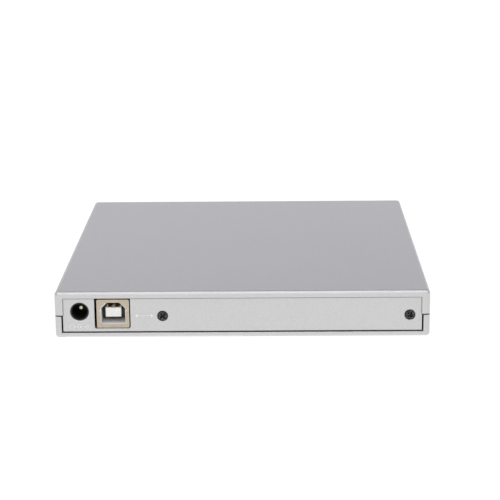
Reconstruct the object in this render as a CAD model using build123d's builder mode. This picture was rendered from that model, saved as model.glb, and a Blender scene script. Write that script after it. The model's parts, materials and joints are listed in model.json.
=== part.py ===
from build123d import *
import os

# A slim external optical drive: a tray-loading disc drive inside a two-piece plastic
# enclosure, with a bridge board that carries the data socket and the power socket.
#
# Millimetres. +Z is up, the tray opens towards -Y and the sockets face +Y. The origin is the
# centre of the footprint, on the surface that the feet stand on.

os.makedirs("parts", exist_ok=True)

# ---- Enclosure
WIDTH = 138.0
FRONT_Y, REAR_Y = -73.0, 74.0
DEPTH, MID_Y = REAR_Y - FRONT_Y, (REAR_Y + FRONT_Y) / 2
BASE_Z, TOP_Z = 1.0, 18.5
SPLIT_Z, SPLIT_GAP = 9.4, 0.5
CORNER_R, TOP_EDGE_R, BASE_EDGE_R = 1.6, 1.4, 1.2
SIDE_WALL, FRONT_WALL = 2.4, 2.0
INNER_X = WIDTH / 2 - SIDE_WALL
ROOF_Z, FLOOR_Z = TOP_Z - 1.6, BASE_Z + 1.85
LIP, LIP_TOP_Z, LIP_PLAY = 1.0, 10.9, 0.15
MOUTH_X, MOUTH_TOP_Z = 64.5, 16.4

# The rear panel hangs from the top cover and is set back from the rim around it.
PANEL_X, PANEL_Y, PANEL_IN_Y = 66.0, REAR_Y - 0.4, 71.8
PANEL_BASE_Z, PANEL_TOP_Z = FLOOR_Z + 0.55, 16.1
REAR_SCREW_X, REAR_SCREW_Z = (29.3, -61.6), 9.15
MARK_HEIGHT, MARK_LINE = 0.15, 0.26
JACK_HOLE_R, SCREW_SEAT_R, SCREW_SEAT = 3.45, 2.0, 0.75

# Small screws: shaft radius, and the hole that it turns in.
M2_SHAFT_R, M2_HOLE_R = 0.95, 1.0
FOOT_R, FOOT_X, FOOT_Y, FOOT_POCKET = 4.0, 57.0, 63.0, 0.8

# ---- Bridge board and its sockets
BOARD_Z, BOARD_TOP_Z = 3.2, 4.4
BOARD_X, BOARD_Y = (-50.0, 65.6), (57.4, 71.4)
BOARD_SCREWS = ((-46.0, 61.0), (21.0, 68.2))
JACK_X, JACK_Z, JACK_BORE_R, JACK_COLLAR_R = 59.84, 10.95, 2.95, 3.36
USB_X, USB_Z, USB_FACE_Y, USB_BACK_Y = 47.65, 9.82, 72.6, 57.6
USB_W, USB_H, USB_SHEET = 12.0, 10.84, 0.3

# ---- Optical drive inside the enclosure
DRIVE_FRONT_Y, DRIVE_REAR_Y = -69.8, 56.3
DRIVE_BASE_Z, DRIVE_TOP_Z = 3.2, 15.9
DRIVE_X, SHEET = 63.5, 0.5
DRIVE_FLOOR_Z = DRIVE_BASE_Z + SHEET
DRIVE_SCREWS = ((-52.0, -50.0), (52.0, -50.0), (-52.0, 40.0), (52.0, 40.0))
BRIDGE_PLUG_X = (2.0, 38.0)

# ---- Tray, its bezel and the two telescopic rails
TRAY_X, TRAY_FRONT_Y, TRAY_REAR_Y = 60.9, -70.0, 50.0
TRAY_BASE_Z, DECK_Z, TRAY_TOP_Z = 5.6, 10.2, 13.5
TRAY_WALL_X = (57.0, 58.5)
RIB_X, RIB_Z = 61.2, (6.45, 7.55)
RAIL_Z, RAIL_X, RAIL_SHEET = (5.8, 8.2), (58.9, 62.05), 0.45
BEZEL_X, BEZEL_FACE_Y, BEZEL_Z = 64.0, -73.6, (3.3, 16.0)
DISC_R, SMALL_DISC_R, DISC_FLOOR_Z, SMALL_DISC_FLOOR_Z = 60.3, 40.4, 11.6, 11.1
LED_X, BUTTON_X, RELEASE_X, CONTROL_Z = 22.0, 34.0, 47.5, 7.7
SHIELD_Z = (5.3, 5.6)
SHIELD_SCREWS = ((-50.0, 42.0), (50.0, 42.0), (-50.0, 12.0), (53.0, -20.0))
LOCK_PIN = (44.0, -60.0)
LATCH_PIVOT = (46.0, -40.0)
SPRING_X, SPRING_Z = 40.0, 8.0

# ---- Traverse: spindle and pickup, on a line at 45 degrees to the tray.
# Local x runs outwards from the spindle along the pickup's travel.
HUB_Y = -8.0
TRAVERSE = Plane(origin=(0, HUB_Y, 0), x_dir=(-1, -1, 0), z_dir=(0, 0, 1))
FRAME_Z = (5.8, 6.3)
DAMPERS = ((-15.0, -13.0), (-10.0, 18.0), (50.0, -19.5))
ROD_V, ROD_Z, ROD_R, ROD_U = 14.8, 8.4, 1.0, (12.0, 64.0)
SCREW_V, SCREW_AXIS_Z, SCREW_R, SCREW_U = 19.2, 8.2, 1.25, (15.6, 61.6)
LENS_U = 24.0
HUB_R, SEAT_Z, HUB_TOP_Z = 7.4, 12.2, 14.6
BALL_R, BALL_AT_R, BALL_Z = 1.2, 6.5, 13.15


def block(x, y, z, mode=Mode.ADD):
    """A box between the two limits given for each axis."""
    with Locations((sum(x) / 2, sum(y) / 2, sum(z) / 2)):
        return Box(abs(x[1] - x[0]), abs(y[1] - y[0]), abs(z[1] - z[0]), mode=mode)


def round_x(x, y, z, radius, mode=Mode.ADD):
    """A cylinder along X between two limits."""
    with Locations((sum(x) / 2, y, z)):
        return Cylinder(radius, abs(x[1] - x[0]), rotation=(0, 90, 0), mode=mode)


def round_y(x, y, z, radius, mode=Mode.ADD):
    """A cylinder along Y between two limits."""
    with Locations((x, sum(y) / 2, z)):
        return Cylinder(radius, abs(y[1] - y[0]), rotation=(90, 0, 0), mode=mode)


def round_z(x, y, z, radius, mode=Mode.ADD):
    """A cylinder along Z between two limits."""
    with Locations((x, y, sum(z) / 2)):
        return Cylinder(radius, abs(z[1] - z[0]), mode=mode)


def save(piece, name):
    """Labels a finished piece and writes it as parts/name.step."""
    piece.part.label = name
    export_step(piece.part, f"parts/{name}.step")


def mirrored(x):
    """The same pair of limits on the other side of the centre plane."""
    return (-x[1], -x[0])


# ==== Enclosure =========================================================================

with BuildPart() as top_cover:
    with BuildSketch(Plane.XY.offset(SPLIT_Z + SPLIT_GAP / 2)):
        with Locations((0, MID_Y)):
            RectangleRounded(WIDTH, DEPTH, CORNER_R)
    extrude(amount=TOP_Z - SPLIT_Z - SPLIT_GAP / 2)
    fillet(top_cover.faces().sort_by(Axis.Z)[-1].edges(), TOP_EDGE_R)
    inside_y = (FRONT_Y + FRONT_WALL, PANEL_IN_Y)
    block((-INNER_X, INNER_X), inside_y, (SPLIT_Z, ROOF_Z), Mode.SUBTRACT)
    block((-MOUTH_X, MOUTH_X), (FRONT_Y - 1, inside_y[0]), (SPLIT_Z, MOUTH_TOP_Z), Mode.SUBTRACT)
    block((-PANEL_X, PANEL_X), (PANEL_Y, REAR_Y + 1), (SPLIT_Z, PANEL_TOP_Z), Mode.SUBTRACT)
    block((-PANEL_X, PANEL_X), (PANEL_IN_Y, PANEL_Y), (PANEL_BASE_Z, SPLIT_Z + SPLIT_GAP))
    # A rebate along each side wall takes the lip of the bottom cover.
    rebate = (INNER_X, INNER_X + LIP + LIP_PLAY)
    for x in (rebate, mirrored(rebate)):
        block(x, (FRONT_Y + FRONT_WALL - 0.2, 72.3), (SPLIT_Z, LIP_TOP_Z + LIP_PLAY), Mode.SUBTRACT)
    # Stiffening ribs across the roof.
    for y in (-60.0, 62.0):
        block((-INNER_X, INNER_X), (y - 0.5, y + 0.5), (ROOF_Z - 0.6, ROOF_Z))
    # Openings for the two sockets, and counterbored holes for the two screws.
    round_y(JACK_X, (PANEL_IN_Y - 1, REAR_Y), JACK_Z, JACK_HOLE_R, Mode.SUBTRACT)
    for x in REAR_SCREW_X:
        round_y(x, (PANEL_IN_Y - 1, REAR_Y), REAR_SCREW_Z, 1.15, Mode.SUBTRACT)
        round_y(x, (PANEL_Y - SCREW_SEAT, REAR_Y), REAR_SCREW_Z, SCREW_SEAT_R, Mode.SUBTRACT)
    rims = [(JACK_X, JACK_Z, JACK_HOLE_R)] + [(x, REAR_SCREW_Z, SCREW_SEAT_R) for x in REAR_SCREW_X]
    for x, z, radius in rims:
        with Locations((x, PANEL_Y - 0.05, z)):
            Cone(radius, radius + 0.2, 0.2, rotation=(-90, 0, 0), mode=Mode.SUBTRACT)
    with BuildSketch(Plane(origin=(0, PANEL_Y, 0), x_dir=(-1, 0, 0), z_dir=(0, 1, 0))) as usb_opening:
        with Locations((-47.77, 10.2)):
            Rectangle(13.3, 11.7)
        fillet(usb_opening.vertices().group_by(Axis.Y)[0], 0.9)
    extrude(amount=-5, mode=Mode.SUBTRACT)
    # A fine groove sets the panel off from the rim above and beside it.
    block((-PANEL_X, PANEL_X), (PANEL_Y - 0.25, PANEL_Y), (PANEL_TOP_Z - 0.3, PANEL_TOP_Z), Mode.SUBTRACT)
    for x in ((PANEL_X - 0.3, PANEL_X), (-PANEL_X, 0.3 - PANEL_X)):
        block(x, (PANEL_Y - 0.25, PANEL_Y), (SPLIT_Z, PANEL_TOP_Z), Mode.SUBTRACT)
    # Raised marks on the panel: polarity under the power socket, a two-way arrow by the data socket.
    with BuildSketch(Plane(origin=(0, PANEL_Y, 0), x_dir=(-1, 0, 0), z_dir=(0, 1, 0))):
        for x, ring_r in ((-62.6, 1.0), (-56.6, 1.0), (-59.6, 1.1)):
            with Locations((x, 5.25)):
                Circle(ring_r)
                Circle(ring_r - MARK_LINE, mode=Mode.SUBTRACT)
        with Locations((-58.7, 5.25)):
            Rectangle(0.7, 1.0, mode=Mode.SUBTRACT)
        with Locations((-59.6, 5.25)):
            Circle(0.35)
        with Locations((-58.45, 5.25), (-61.15, 5.25)):
            Rectangle(1.9, MARK_LINE)
        with Locations((-62.6, 5.25), (-56.6, 5.25)):
            Rectangle(1.1, MARK_LINE)
        with Locations((-56.6, 5.25)):
            Rectangle(MARK_LINE, 1.1)
        with Locations((-36.0, 9.45)):
            Rectangle(5.0, MARK_LINE)
        for x, way in ((-38.1, -1), (-33.9, 1)):
            with BuildLine():
                Polyline((x, 8.5), (x + 1.4 * way, 9.45), (x, 10.4), (x + 0.4 * way, 9.45), close=True)
            make_face()
    extrude(amount=MARK_HEIGHT)
save(top_cover, "top_cover")

with BuildPart() as bottom_cover:
    with BuildSketch(Plane.XY.offset(BASE_Z)):
        with Locations((0, MID_Y)):
            RectangleRounded(WIDTH, DEPTH, CORNER_R)
    extrude(amount=SPLIT_Z - SPLIT_GAP / 2 - BASE_Z)
    fillet(bottom_cover.faces().sort_by(Axis.Z)[0].edges(), BASE_EDGE_R)
    rim_z = SPLIT_Z - SPLIT_GAP / 2
    block((-INNER_X, INNER_X), (FRONT_Y + FRONT_WALL, REAR_Y + 1), (FLOOR_Z, SPLIT_Z), Mode.SUBTRACT)
    block((-MOUTH_X, MOUTH_X), (FRONT_Y - 1, FRONT_Y + 3), (FLOOR_Z, SPLIT_Z), Mode.SUBTRACT)
    lip = (INNER_X, INNER_X + LIP)
    for x in (lip, mirrored(lip)):
        block(x, (FRONT_Y + FRONT_WALL, 72.0), (rim_z - 0.5, LIP_TOP_Z))
    # Posts behind the rear panel that the two rear screws bite into.
    for x in REAR_SCREW_X:
        block((x - 3.2, x + 3.2), (66.2, PANEL_IN_Y), (FLOOR_Z, 12.4))
        round_y(x, (66.0, REAR_Y), REAR_SCREW_Z, M2_HOLE_R, Mode.SUBTRACT)
    # Pads under the bridge board and under the drive.
    for x, y in (*BOARD_SCREWS, (62.0, 59.5)):
        round_z(x, y, (FLOOR_Z, BOARD_Z), 2.2)
    for x, y in BOARD_SCREWS:
        round_z(x, y, (BASE_Z + 0.6, BOARD_Z), M2_HOLE_R, Mode.SUBTRACT)
    for x, y in DRIVE_SCREWS:
        round_z(x, y, (FLOOR_Z, DRIVE_BASE_Z), 3.0)
        round_z(x, y, (BASE_Z - 1, DRIVE_BASE_Z), M2_HOLE_R + 0.1, Mode.SUBTRACT)
        round_z(x, y, (BASE_Z - 1, BASE_Z + 0.85), 2.1, Mode.SUBTRACT)
    # Round pockets for the feet, and a shallow recess for a rating label.
    for x in (-FOOT_X, FOOT_X):
        for y in (MID_Y - FOOT_Y, MID_Y + FOOT_Y):
            round_z(x, y, (BASE_Z - 1, BASE_Z + FOOT_POCKET), FOOT_R + 0.1, Mode.SUBTRACT)
    block((-30.0, 30.0), (-20.0, 20.0), (BASE_Z - 1, BASE_Z + 0.25), Mode.SUBTRACT)
    # The upper edge of the rear rim, under the panel, is rounded.
    rim_edge = bottom_cover.edges().filter_by(Axis.X).filter_by_position(Axis.Y, 73.9, 74.1)
    fillet(rim_edge.filter_by_position(Axis.Z, FLOOR_Z - 0.05, FLOOR_Z + 0.05), 0.25)
save(bottom_cover, "bottom_cover")

with BuildPart() as rubber_feet:
    for x in (-FOOT_X, FOOT_X):
        for y in (MID_Y - FOOT_Y, MID_Y + FOOT_Y):
            round_z(x, y, (0, BASE_Z + FOOT_POCKET), FOOT_R)
    fillet(rubber_feet.edges().group_by(Axis.Z)[0], 0.5)
save(rubber_feet, "rubber_feet")


def cross_recess(size, depth_along, at, rotation):
    """The cross of a Phillips drive, cut into the screw head at a point."""
    with Locations(at):
        Box(size, size / 4, depth_along, rotation=rotation, mode=Mode.SUBTRACT)
        Box(size / 4, size, depth_along, rotation=rotation, mode=Mode.SUBTRACT)


with BuildPart() as rear_screws:
    for x in REAR_SCREW_X:
        round_y(x, (PANEL_Y - SCREW_SEAT, PANEL_Y - 0.05), REAR_SCREW_Z, 1.85)
        round_y(x, (67.0, PANEL_Y - 0.7), REAR_SCREW_Z, M2_SHAFT_R)
    fillet(rear_screws.edges().group_by(Axis.Y)[-1], 0.4)
    for x in REAR_SCREW_X:
        cross_recess(2.4, 1.1, (x, PANEL_Y, REAR_SCREW_Z), (90, 0, 45))
save(rear_screws, "rear_screws")

with BuildPart() as drive_screws:
    for x, y in DRIVE_SCREWS:
        round_z(x, y, (BASE_Z + 0.15, BASE_Z + 0.85), 1.9)
        round_z(x, y, (BASE_Z + 0.8, 4.6), M2_SHAFT_R)
        cross_recess(2.2, 0.9, (x, y, BASE_Z + 0.15), (0, 0, 0))
save(drive_screws, "drive_screws")

# ==== Bridge board ======================================================================

POST_X = REAR_SCREW_X[0]

with BuildPart() as bridge_board:
    block(BOARD_X, BOARD_Y, (BOARD_Z, BOARD_TOP_Z))
    block((POST_X - 3.6, POST_X + 3.6), (65.8, 72), (BOARD_Z, BOARD_TOP_Z), Mode.SUBTRACT)
    for x, y in BOARD_SCREWS:
        round_z(x, y, (BOARD_Z, BOARD_TOP_Z), 1.1, Mode.SUBTRACT)
    for x in (USB_X - USB_W / 2 + 0.15, USB_X + USB_W / 2 - 0.15):
        block((x - 0.3, x + 0.3), (64.6, 67.4), (BOARD_Z, BOARD_TOP_Z), Mode.SUBTRACT)
save(bridge_board, "bridge_board")

with BuildPart() as board_screws:
    for x, y in BOARD_SCREWS:
        round_z(x, y, (BOARD_TOP_Z, BOARD_TOP_Z + 1.0), 1.9)
        round_z(x, y, (BASE_Z + 0.8, BOARD_TOP_Z), M2_SHAFT_R)
    fillet(board_screws.edges().group_by(Axis.Z)[-1], 0.4)
    for x, y in BOARD_SCREWS:
        cross_recess(2.2, 1.0, (x, y, BOARD_TOP_Z + 1.0), (0, 0, 0))
save(board_screws, "board_screws")

USB_BASE_Z = USB_Z - USB_H / 2
USB_FRONT = Plane(origin=(USB_X, USB_FACE_Y, USB_Z), x_dir=(-1, 0, 0), z_dir=(0, 1, 0))

with BuildPart() as usb_socket_shell:
    outer_x = (USB_X - USB_W / 2, USB_X + USB_W / 2)
    block(outer_x, (USB_BACK_Y, USB_FACE_Y), (USB_BASE_Z, USB_BASE_Z + USB_H))
    fillet(usb_socket_shell.edges().filter_by(Axis.Y), 0.6)
    block(
        (outer_x[0] + USB_SHEET, outer_x[1] - USB_SHEET),
        (USB_BACK_Y - 1, USB_FACE_Y - USB_SHEET),
        (USB_BASE_Z + USB_SHEET, USB_BASE_Z + USB_H - USB_SHEET),
        Mode.SUBTRACT,
    )
    # The mouth: a rectangle whose two upper corners are cut off.
    with BuildSketch(USB_FRONT) as usb_mouth:
        with BuildLine():
            Polyline(
                (-4.8, -4.25), (4.8, -4.25), (4.8, 2.1), (2.65, 4.25),
                (-2.65, 4.25), (-4.8, 2.1), close=True,
            )
        make_face()
        fillet(usb_mouth.vertices().group_by(Axis.Y)[0], 0.9)
    extrude(amount=-1.0, mode=Mode.SUBTRACT)
    # A small notch halfway up each side of the mouth.
    notch_z = (USB_Z + 0.75, USB_Z + 1.4)
    block((USB_X - 5.25, USB_X + 5.25), (USB_FACE_Y - 1, USB_FACE_Y), notch_z, Mode.SUBTRACT)
    # Solder tabs through the board.
    for x in (outer_x[0] + 0.15, outer_x[1] - 0.15):
        block((x - 0.15, x + 0.15), (64.9, 67.1), (BOARD_Z, USB_BASE_Z + 1))
save(usb_socket_shell, "usb_socket_shell")

with BuildPart() as usb_socket_insulator:
    block((USB_X - 5.65, USB_X + 5.65), (58.6, USB_FACE_Y - 0.35), (USB_Z - 5.05, USB_Z + 5.05))
    # The cavity is a shade smaller than the mouth of the shell, behind a sloping lead-in.
    for depth, grow in ((0.3, 0.0), (1.3, -0.35)):
        w, h, c = 4.75 + grow, 4.2 + grow, 2.1
        with BuildSketch(USB_FRONT.offset(-depth)):
            Polygon((-w, -h), (w, -h), (w, h - c), (w - c, h), (c - w, h), (-w, h - c), align=None)
    loft(mode=Mode.SUBTRACT)
    with BuildSketch(USB_FRONT.offset(-1.3)):
        Polygon((-w, -h), (w, -h), (w, h - c), (w - c, h), (c - w, h), (-w, h - c), align=None)
    extrude(amount=-8.2, mode=Mode.SUBTRACT)
    tongue = (USB_FACE_Y - 10.0, USB_FACE_Y - 2.1)
    block((USB_X - 2.85, USB_X + 2.85), tongue, (USB_Z - 1.7, USB_Z + 1.7))
    # A deeper channel behind each contact, above and below the tongue.
    for x in (USB_X - 1.3, USB_X + 1.3):
        for z in ((USB_Z + 1.1, USB_Z + 1.7), (USB_Z - 1.7, USB_Z - 1.1)):
            block((x - 0.85, x + 0.85), (USB_FACE_Y - 10.6, 66.6), z, Mode.SUBTRACT)
save(usb_socket_insulator, "usb_socket_insulator")

with BuildPart() as usb_socket_contacts:
    for x in (USB_X - 1.3, USB_X + 1.3):
        for side in (-1, 1):
            skin = sorted((USB_Z + side * 1.7, USB_Z + side * 2.0))
            block((x - 0.65, x + 0.65), (66.6, 70.2 + side * 0.4), skin)
    tips = usb_socket_contacts.edges().filter_by(Axis.X).group_by(Axis.Y)
    fillet(tips[-1] + tips[-2], 0.12)
save(usb_socket_contacts, "usb_socket_contacts")

with BuildPart() as dc_jack_body:
    block((JACK_X - 4.5, JACK_X + 4.5), (57.6, 71.6), (BOARD_TOP_Z, 15.4))
    round_y(JACK_X, (71.0, 73.3), JACK_Z, JACK_COLLAR_R)
    round_y(JACK_X, (62.6, 74.0), JACK_Z, JACK_BORE_R, Mode.SUBTRACT)
    round_y(JACK_X, (58.6, 63.0), JACK_Z, 1.4, Mode.SUBTRACT)
    # A slot in the side of the bore for the sprung contact.
    block((JACK_X, JACK_X + 3.9), (63.0, 67.6), (JACK_Z - 0.7, JACK_Z + 0.7), Mode.SUBTRACT)
save(dc_jack_body, "dc_jack_body")

with BuildPart() as dc_jack_pin:
    round_y(JACK_X, (59.0, 68.4), JACK_Z, 1.0)
    round_y(JACK_X, (58.6, 59.6), JACK_Z, 1.4)
    fillet(dc_jack_pin.edges().group_by(Axis.Y)[-1], 0.5)
save(dc_jack_pin, "dc_jack_pin")

with BuildPart() as dc_jack_contact:
    with BuildSketch(Plane.XY.offset(JACK_Z - 0.6)):
        with BuildLine():
            Polyline(
                (JACK_X + 3.8, 67.1), (JACK_X + 2.9, 67.1), (JACK_X + 1.7, 66.0),
                (JACK_X + 3.2, 63.3), (JACK_X + 3.5, 63.3), (JACK_X + 2.0, 65.95),
                (JACK_X + 3.05, 66.8), (JACK_X + 3.8, 66.8), close=True,
            )
        make_face()
    extrude(amount=1.2)
save(dc_jack_contact, "dc_jack_contact")


def chip(centre, size, height, base_z, legs_per_side):
    """A flat square chip with a row of legs on each side."""
    x, y = centre
    half = size / 2
    block((x - half, x + half), (y - half, y + half), (base_z + 0.1, base_z + height))
    pitch = size / (legs_per_side + 1)
    for i in range(legs_per_side):
        at = -half + pitch * (i + 1)
        for side in (-1, 1):
            reach = sorted((side * (half - 0.1), side * (half + 0.8)))
            leg = (at - 0.2, at + 0.2)
            block((x + reach[0], x + reach[1]), (y + leg[0], y + leg[1]), (base_z, base_z + 0.25))
            block((x + leg[0], x + leg[1]), (y + reach[0], y + reach[1]), (base_z, base_z + 0.25))


with BuildPart() as bridge_chip:
    chip((-8.0, 63.4), 9.0, 1.5, BOARD_TOP_Z, 8)
save(bridge_chip, "bridge_chip")

with BuildPart() as bridge_crystal:
    with BuildSketch(Plane.XY.offset(BOARD_TOP_Z)):
        with Locations((-24.0, 64.4)):
            SlotCenterToCenter(6.6, 4.4)
    extrude(amount=3.4)
    fillet(bridge_crystal.edges().group_by(Axis.Z)[-1], 0.5)
save(bridge_crystal, "bridge_crystal")

with BuildPart() as bridge_capacitors:
    for x, y in ((-36.0, 61.2), (-36.0, 67.6)):
        block((x - 2.6, x + 2.6), (y - 2.6, y + 2.6), (BOARD_TOP_Z, BOARD_TOP_Z + 0.6))
        round_z(x, y, (BOARD_TOP_Z + 0.6, BOARD_TOP_Z + 5.6), 2.4)
    fillet(bridge_capacitors.edges().group_by(Axis.Z)[-1], 0.4)
save(bridge_capacitors, "bridge_capacitors")

with BuildPart() as bridge_small_parts:
    for i in range(8):
        x = -17.5 + 2.4 * (i % 4) if i < 4 else 1.0 + 2.4 * (i % 4)
        y = 70.2 if i < 4 else 65.6
        block((x - 0.5, x + 0.5), (y - 0.8, y + 0.8), (BOARD_TOP_Z, BOARD_TOP_Z + 0.6))
    block((12.0, 16.5), (66.4, 70.4), (BOARD_TOP_Z, BOARD_TOP_Z + 2.2))
save(bridge_small_parts, "bridge_small_parts")

with BuildPart() as bridge_socket:
    block(BRIDGE_PLUG_X, (58.1, 62.6), (BOARD_TOP_Z, 9.6))
    block((4.0, 36.0), (57.0, 58.2), (6.4, 7.6))
save(bridge_socket, "bridge_socket")

# ==== Drive case ========================================================================

with BuildPart() as drive_chassis:
    block((-DRIVE_X, DRIVE_X), (DRIVE_FRONT_Y, DRIVE_REAR_Y), (DRIVE_BASE_Z, 15.35))
    block(
        (0.45 - DRIVE_X, DRIVE_X - 0.45),
        (DRIVE_FRONT_Y - 1, DRIVE_REAR_Y - 0.45),
        (DRIVE_FLOOR_Z, 16),
        Mode.SUBTRACT,
    )
    block((1.0, 39.0), (DRIVE_REAR_Y - 1, DRIVE_REAR_Y + 1), (5.0, 10.4), Mode.SUBTRACT)
    for x, y in DRIVE_SCREWS:
        round_z(x, y, (DRIVE_BASE_Z, DRIVE_FLOOR_Z), M2_HOLE_R, Mode.SUBTRACT)
    round_z(*LOCK_PIN, (DRIVE_BASE_Z, DRIVE_FLOOR_Z), 0.9, Mode.SUBTRACT)
    for x, y in ((-5.0, 53.2), (22.0, 53.2), (39.0, 53.2)):
        round_z(x, y, (DRIVE_FLOOR_Z, 4.2), 1.5)
    # Long pressed windows in the floor, between the flexible strip and the rails.
    for x in (-40.0, 24.0):
        block((x - 8, x + 8), (-30.0, 30.0), (DRIVE_BASE_Z, DRIVE_FLOOR_Z), Mode.SUBTRACT)
save(drive_chassis, "drive_chassis")

with BuildPart() as lock_pin:
    round_z(*LOCK_PIN, (DRIVE_FLOOR_Z, 4.9), 1.5)
    round_z(*LOCK_PIN, (DRIVE_BASE_Z, DRIVE_FLOOR_Z), 0.9)
    chamfer(lock_pin.edges().group_by(Axis.Z)[-1], 0.2)
save(lock_pin, "lock_pin")

with BuildPart() as drive_lid:
    lid_x, skirt = DRIVE_X + 0.45, 0.35
    block((-lid_x, lid_x), (DRIVE_FRONT_Y, DRIVE_REAR_Y + 0.45), (DRIVE_TOP_Z - SHEET, DRIVE_TOP_Z))
    for x in ((lid_x - skirt, lid_x), (-lid_x, skirt - lid_x)):
        block(x, (DRIVE_FRONT_Y, DRIVE_REAR_Y + 0.45), (12.0, DRIVE_TOP_Z))
    block((-lid_x, lid_x), (DRIVE_REAR_Y + 0.1, DRIVE_REAR_Y + 0.45), (12.0, DRIVE_TOP_Z))
    # A pressed ring over the disc and a dished centre over the hub.
    with BuildSketch(Plane.XY.offset(DRIVE_TOP_Z)):
        with Locations((0, HUB_Y)):
            Circle(58.0)
            Circle(55.0, mode=Mode.SUBTRACT)
            Circle(12.0)
    extrude(amount=-0.2, mode=Mode.SUBTRACT)
save(drive_lid, "drive_lid")

with BuildPart() as main_board:
    block((-28.0, 42.0), (50.9, 55.6), (4.2, 5.0))
save(main_board, "main_board")

with BuildPart() as drive_plug:
    block(BRIDGE_PLUG_X, (52.0, 57.9), (5.0, 9.4))
    block((3.8, 36.2), (56.6, 58.5), (6.2, 7.8), Mode.SUBTRACT)
save(drive_plug, "drive_plug")


def rail_guide(side):
    """A plastic guide that is fixed inside the drive's side wall and holds one rail in a groove."""
    with BuildPart() as guide:
        block((side * 60.4, side * 63.0), (-69.5, 52.0), (DRIVE_FLOOR_Z + 0.05, 9.8))
        block((side * 60.3, side * 62.2), (-69.6, 51.6), (5.65, 8.35), Mode.SUBTRACT)
    return guide


def rail(side):
    """A steel channel, open towards the tray, between the drive's guide and the tray's rib."""
    x = (side * RAIL_X[0], side * RAIL_X[1])
    with BuildPart() as channel:
        block(x, (-68.8, 51.4), RAIL_Z)
        inner = (side * (RAIL_X[0] - 1), side * (RAIL_X[1] - RAIL_SHEET))
        block(inner, (-69, 52), (RAIL_Z[0] + RAIL_SHEET, RAIL_Z[1] - RAIL_SHEET), Mode.SUBTRACT)
    return channel


for side, word in ((-1, "left"), (1, "right")):
    save(rail_guide(side), f"{word}_rail_guide")
    save(rail(side), f"{word}_rail")

# ==== Tray ==============================================================================


def keyhole(hub_r, slot_v, slot_u):
    """The outline of the opening round the spindle and along the pickup's travel."""
    Circle(hub_r)
    with Locations((slot_u / 2, 0)):
        Rectangle(slot_u, 2 * slot_v)


with BuildPart() as tray:
    block((-TRAY_X, TRAY_X), (TRAY_FRONT_Y, TRAY_REAR_Y), (DECK_Z, TRAY_TOP_Z))
    fillet(tray.edges().filter_by(Axis.Z).group_by(Axis.Y)[-1], 6.0)
    # Side, front and rear walls under the deck.
    wall_x = TRAY_WALL_X[1]
    block((-wall_x, wall_x), (TRAY_FRONT_Y, TRAY_REAR_Y), (TRAY_BASE_Z, DECK_Z))
    hollow_x, hollow_y = TRAY_WALL_X[0], (TRAY_FRONT_Y + 1.8, TRAY_REAR_Y - 1.5)
    block((-hollow_x, hollow_x), hollow_y, (TRAY_BASE_Z, DECK_Z), Mode.SUBTRACT)
    # The rib on each side that runs in a rail.
    for x in ((wall_x, RIB_X), (-RIB_X, -wall_x)):
        block(x, (-68.0, TRAY_REAR_Y), RIB_Z)
    # Recesses for a full-size and a small disc, with a finger notch at one front corner.
    round_z(0, HUB_Y, (DISC_FLOOR_Z, 15), DISC_R, Mode.SUBTRACT)
    round_z(0, HUB_Y, (SMALL_DISC_FLOOR_Z, 15), SMALL_DISC_R, Mode.SUBTRACT)
    round_z(47.0, -52.0, (DISC_FLOOR_Z + 0.2, 15), 9.0, Mode.SUBTRACT)
    # The opening for the traverse, with a ledge that carries its cover.
    with BuildSketch(TRAVERSE.offset(DECK_Z)):
        keyhole(17.0, 11.5, 65.0)
    extrude(amount=5, mode=Mode.SUBTRACT)
    with BuildSketch(TRAVERSE.offset(10.7)):
        keyhole(19.7, 13.7, 67.2)
    extrude(amount=5, mode=Mode.SUBTRACT)
    # Bosses for the traverse dampers, the shield, the board and the latch pivot.
    with BuildSketch(TRAVERSE.offset(7.4)):
        with Locations(*DAMPERS):
            Circle(2.6)
            Circle(0.85, mode=Mode.SUBTRACT)
    extrude(amount=DECK_Z - 7.4)
    for x, y in SHIELD_SCREWS:
        round_z(x, y, (TRAY_BASE_Z, DECK_Z), 2.3)
        round_z(x, y, (TRAY_BASE_Z, 8.6), 0.85, Mode.SUBTRACT)
    for x, y in ((20.0, 41.0), (48.0, 12.0), (22.0, 9.0), (-22.0, 41.0)):
        round_z(x, y, (7.4, DECK_Z), 2.0)
    round_z(*LATCH_PIVOT, (SHIELD_Z[1], DECK_Z), 1.2)
    # Holes in the front wall for the button stem, the light pipe and the release pin.
    block((BUTTON_X - 2.2, BUTTON_X + 2.2), (-71, -67), (CONTROL_Z - 1.0, CONTROL_Z + 1.0), Mode.SUBTRACT)
    block((LED_X - 1.4, LED_X + 1.4), (-71, -67), (CONTROL_Z - 0.9, CONTROL_Z + 0.9), Mode.SUBTRACT)
    round_y(RELEASE_X, (-71, -67), CONTROL_Z, 0.75, Mode.SUBTRACT)
    # A hole in the rear wall for the ejection spring, and the cup that it seats in.
    round_y(SPRING_X, (48, 51), SPRING_Z, 2.1, Mode.SUBTRACT)
    block((SPRING_X - 3, SPRING_X + 3), (37.0, 38.2), (TRAY_BASE_Z, DECK_Z))
save(tray, "tray")

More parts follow.
